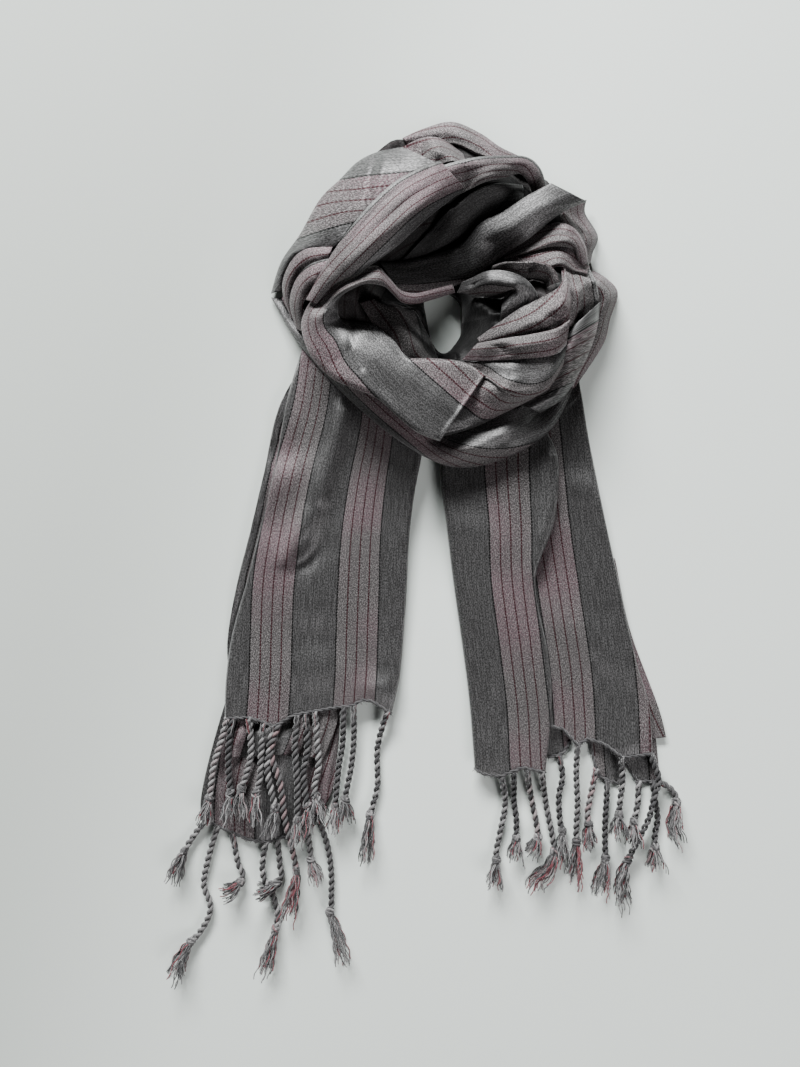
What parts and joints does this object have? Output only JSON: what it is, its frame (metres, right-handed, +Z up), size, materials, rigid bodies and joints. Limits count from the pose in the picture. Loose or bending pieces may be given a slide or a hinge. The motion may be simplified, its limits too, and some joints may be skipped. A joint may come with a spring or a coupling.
{
  "type": "scarf",
  "caption": "Thin striped fringed scarf wound into a ring, its two fringed ends lying side by side on a flat surface.",
  "frame": {"origin": "middle of the scarf's box, on the surface it lies on", "axes": "+X to the right of the two ends seen from above, +Y from the fringe to the ring, +Z up"},
  "size_m": [0.4079, 0.6833, 0.0653],
  "materials": {
    "striped_cloth": "satin-faced woven viscose, grey with groups of fine dotted lines in black and dark red on a paler pink twill",
    "fringe_yarn": "two-ply twisted yarn, light and dark grey with dark red strands"
  },
  "bodies": {
    "root": {"upper_band": "striped_cloth", "front_inner_band": "striped_cloth", "right_inner_band": "striped_cloth", "front_upper_face": "striped_cloth", "front_right_side": "striped_cloth", "right_inner_fold": "striped_cloth", "curl_large": "striped_cloth", "curl_small": "striped_cloth", "right_folds": "striped_cloth", "right_lower_band": "striped_cloth", "throat_band": "striped_cloth", "upper_arm": "striped_cloth", "right_upper_fold": "striped_cloth", "right_middle_fold": "striped_cloth", "right_flap": "striped_cloth", "right_outer_band": "striped_cloth", "left_fold_inner": "striped_cloth", "left_fold_outer": "striped_cloth", "left_outer_face": "striped_cloth", "back_fold": "striped_cloth", "back_band": "striped_cloth", "throat_left_wall": "striped_cloth", "throat_back_wall": "striped_cloth", "front_outer_band": "striped_cloth", "left_end_front": "striped_cloth", "left_end_middle": "striped_cloth", "left_end_back": "striped_cloth", "right_end_left_panel": "striped_cloth", "right_end_right_panel": "striped_cloth", "right_end_side": "striped_cloth", "right_end_back": "striped_cloth", "left_end_layers": "striped_cloth", "right_end_layers": "striped_cloth", "right_end_side_layers": "striped_cloth", "ring_layers": "striped_cloth", "fringe_left_front": "fringe_yarn", "fringe_left_back": "fringe_yarn", "fringe_right_left": "fringe_yarn", "fringe_right_front": "fringe_yarn", "fringe_right_back": "fringe_yarn"}
  },
  "joints": []
}
